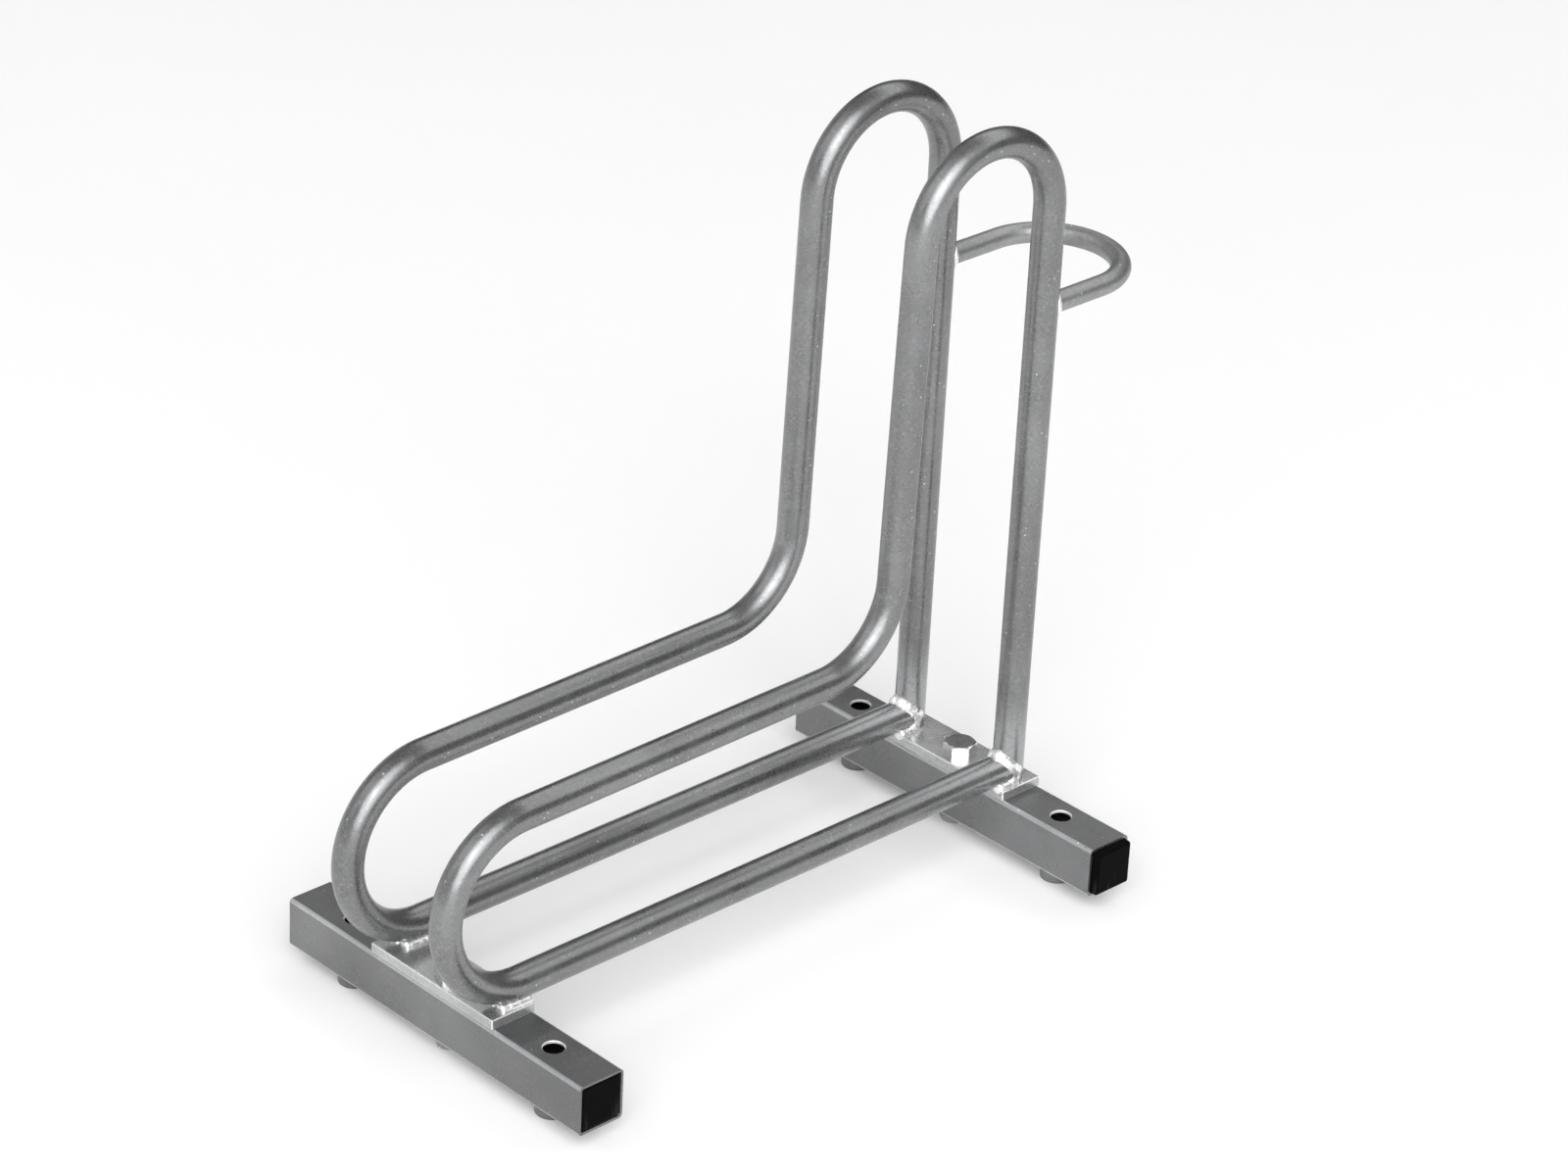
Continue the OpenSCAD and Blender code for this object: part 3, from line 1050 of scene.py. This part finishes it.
class STAND_OT_welds(StandOperator, bpy.types.Operator):
    """Lays the weld beads"""

    bl_idname = "stand.welds"
    bl_label = "Welds"

    def build(self, s):
        r = s.tube_d / 2
        leg_x = REAR_X - s.leg_setback
        for name, side in SIDES:
            y = side * LOOP_Y
            beads = [
                weld_bead(self.saddle(r, leg_x, y), s.bead * SADDLE_SHARE, f"{name} saddle"),
                weld_bead(self.foot(r, leg_x, y), s.bead * FOOT_SHARE, f"{name} foot"),
            ]
            for way in (-1, 1):
                drop = self.drop(r, leg_x, y, way)
                beads.append(weld_bead(drop, s.bead, f"{name} drop {way}"))
            dress(melt(f"{name}_leg_bead", beads), "weld_metal", "stand", f"{name}_leg_weld")
            beads = [
                weld_bead(self.nose(y, way), s.bead * NOSE_SHARE, f"{name} nose {way}")
                for way in (-1, 1)
            ]
            dress(melt(f"{name}_nose_bead", beads), "weld_metal", "stand", f"{name}_nose_weld")
        beads = [
            weld_bead(self.hoop_end(s, leg_x, side * LOOP_Y), s.bead * HOOP_SHARE, f"{name} hoop")
            for name, side in SIDES
        ]
        dress(melt("hoop_end_beads", beads), "weld_metal", "stand", "hoop_welds")

    def saddle(self, r, leg_x, y):
        """Over the end of the bottom run, where it meets the leg."""
        rise, spread = r - 0.0017, r - 0.0052
        return [
            (
                leg_x - rise * math.cos(a),
                y + spread * math.sin(a),
                PLATE_TOP + r + rise * math.cos(a),
            )
            for a in arc(-90, 90, 6)
        ]

    def foot(self, r, leg_x, y):
        """Round the back and sides of the leg's foot, on the plate."""
        along, across = r - 0.0022, r - 0.0030
        return [
            (leg_x + along * math.cos(a), y + across * math.sin(a), PLATE_TOP - 0.0012)
            for a in arc(-125, 125, 6)
        ]

    def drop(self, r, leg_x, y, way):
        """Down one side of the joint, then along the plate beside the run."""
        return [
            (leg_x - 0.0005, y + way * (r - 0.0047), PLATE_TOP + r),
            (leg_x - 0.0025, y + way * (r - 0.0042), PLATE_TOP),
            (leg_x - 0.0115, y + way * (r - 0.0045), PLATE_TOP - 0.0006),
        ]

    def nose(self, y, way):
        """Along one side of a nose, on the front plate."""
        return [
            (FRONT_X + 0.0135, y + way * 0.0050, PLATE_TOP - 0.0002),
            (FRONT_X + 0.0020, y + way * 0.0048, PLATE_TOP - 0.0002),
            (FRONT_X - 0.0040, y + way * 0.0040, PLATE_TOP),
        ]

    def hoop_end(self, s, leg_x, y):
        """Round the hoop's bar, where it meets the leg's round side."""
        proud = 0.0002
        r, rod = s.tube_d / 2, s.hoop_d / 2 + proud
        return [
            (
                leg_x + math.sqrt(r * r - (rod * math.sin(a)) ** 2) + proud,
                y + rod * math.sin(a),
                HOOP_Z + rod * math.cos(a),
            )
            for a in arc(0, 360, 10)
        ]


class STAND_OT_stage(StandOperator, bpy.types.Operator):
    """Sets up the floor, the lights and the camera"""

    bl_idname = "stand.stage"
    bl_label = "Stage"

    def build(self, s):
        self.floor()
        self.lights()
        self.camera()
        bpy.context.scene.view_settings.view_transform = "Standard"

    def floor(self):
        bm = bmesh.new()
        bmesh.ops.create_grid(bm, x_segments=1, y_segments=1, size=20)
        floor = link("studio_floor", bm)
        floor.data.materials.append(material("studio_floor"))

    def lights(self):
        """A soft sun just above the camera, inside a dome that lights the rest."""
        sun = bpy.data.objects.new("sun", bpy.data.lights.new("sun", "SUN"))
        sun.data.energy = SUN_ENERGY
        sun.data.angle = SUN_ANGLE
        sun.rotation_euler = WINDOW.to_track_quat("Z", "Y").to_euler()
        bpy.context.scene.collection.objects.link(sun)
        bm = bmesh.new()
        bmesh.ops.create_uvsphere(bm, u_segments=48, v_segments=32, radius=DOME_R)
        dome = link("studio_dome", bm)
        dome.data.materials.append(self.dome_glow())
        dome.visible_camera = False
        dome.visible_shadow = False
        world = bpy.data.worlds.new("studio")
        world.use_nodes = True
        world.node_tree.nodes["Background"].inputs["Color"].default_value = (1, 1, 1, 1)
        bpy.context.scene.world = world

    def dome_glow(self):
        """A bright window and strip, an arch across the ceiling, and a low horizon."""
        glow = Finish("studio_dome", 0.0, 1.0)
        outward = glow.stretch(glow.place, (1 / DOME_R,) * 3)
        parts = glow.add("ShaderNodeSeparateXYZ", Vector=outward).outputs

        def nearness(direction):
            """How nearly a place on the dome lies in a direction: 1 where it does."""
            node = glow.add("ShaderNodeVectorMath")
            node.operation = "DOT_PRODUCT"
            glow.feed(node.inputs[0], outward)
            glow.feed(node.inputs[1], direction)
            return node.outputs["Value"]

        window = nearness(WINDOW)
        rim = glow.ramp(window, 0.55, 0.86, 0.0, WINDOW_RIM)
        core = glow.ramp(window, 0.81, 0.9, 0.0, WINDOW_CORE)
        strip = glow.ramp(nearness(STRIP), 0.86, 0.97, 0.0, STRIP_LEVEL)
        panel = glow.math("ADD", glow.math("ADD", rim, core), strip)
        arch = glow.math(
            "MULTIPLY",
            glow.ramp(parts["X"], 0.4, 0.52, 0.0, ARCH_LEVEL),
            glow.ramp(parts["X"], 0.82, 0.72),
        )
        ceiling = glow.math(
            "MULTIPLY", glow.ramp(parts["Z"], 0.49, 0.59), glow.math("ADD", arch, CEILING_LEVEL)
        )
        horizon = glow.math(
            "MULTIPLY",
            glow.ramp(parts["Z"], 0.5, 0.4),
            glow.ramp(parts["X"], 0.45, 0.25, *HORIZON_LEVELS),
        )
        level = glow.math("ADD", glow.math("ADD", ceiling, horizon), panel)
        light = glow.add("ShaderNodeEmission", Strength=level)
        glow.links.new(light.outputs[0], glow.nodes["Material Output"].inputs["Surface"])
        return glow.material

    def camera(self):
        """The photograph's view: turned, raised, rolled and far off."""
        flat = Vector((math.cos(VIEW_TURN), math.sin(VIEW_TURN), 0))
        back = Vector(
            (
                math.sin(VIEW_TURN) * math.cos(VIEW_RAISED),
                -math.cos(VIEW_TURN) * math.cos(VIEW_RAISED),
                math.sin(VIEW_RAISED),
            )
        )
        axes = Matrix((flat, back.cross(flat), back)).transposed()
        axes = (axes @ Matrix.Rotation(VIEW_ROLL, 3, "Z")).to_4x4()
        data = bpy.data.cameras.new("camera")
        data.lens, data.sensor_width = VIEW_LENS, VIEW_SENSOR
        data.clip_start, data.clip_end = 0.1, 60
        camera = bpy.data.objects.new("camera", data)
        camera.matrix_world = Matrix.Translation(VIEW_TARGET + VIEW_DISTANCE * back) @ axes
        bpy.context.scene.collection.objects.link(camera)
        bpy.context.scene.camera = camera


OPERATORS = (
    STAND_OT_loops,
    STAND_OT_hoop,
    STAND_OT_plates,
    STAND_OT_bars,
    STAND_OT_caps,
    STAND_OT_feet,
    STAND_OT_bolts,
    STAND_OT_welds,
    STAND_OT_stage,
)


class STAND_PT_panel(bpy.types.Panel):
    """Buttons that build the stand, and its sizes and colours"""

    bl_idname = "STAND_PT_panel"
    bl_label = "Wheel Stand"
    bl_space_type = "VIEW_3D"
    bl_region_type = "UI"
    bl_category = "Wheel Stand"

    def draw(self, context):
        for operator in OPERATORS:
            self.layout.operator(operator.bl_idname)
        for group in (context.scene.stand_sizes, context.scene.stand_colours):
            box = self.layout.box()
            for name in group.__annotations__:
                box.prop(group, name)


CLASSES = (StandSizes, StandColours, *OPERATORS, STAND_PT_panel)


def register():
    for cls in CLASSES:
        bpy.utils.register_class(cls)
    bpy.types.Scene.stand_sizes = PointerProperty(type=StandSizes)
    bpy.types.Scene.stand_colours = PointerProperty(type=StandColours)


def unregister():
    del bpy.types.Scene.stand_sizes, bpy.types.Scene.stand_colours
    for cls in reversed(CLASSES):
        bpy.utils.unregister_class(cls)


def main():
    register()
    for operator in OPERATORS:
        group, name = operator.bl_idname.split(".")
        getattr(getattr(bpy.ops, group), name)()


if __name__ == "__main__":
    main()
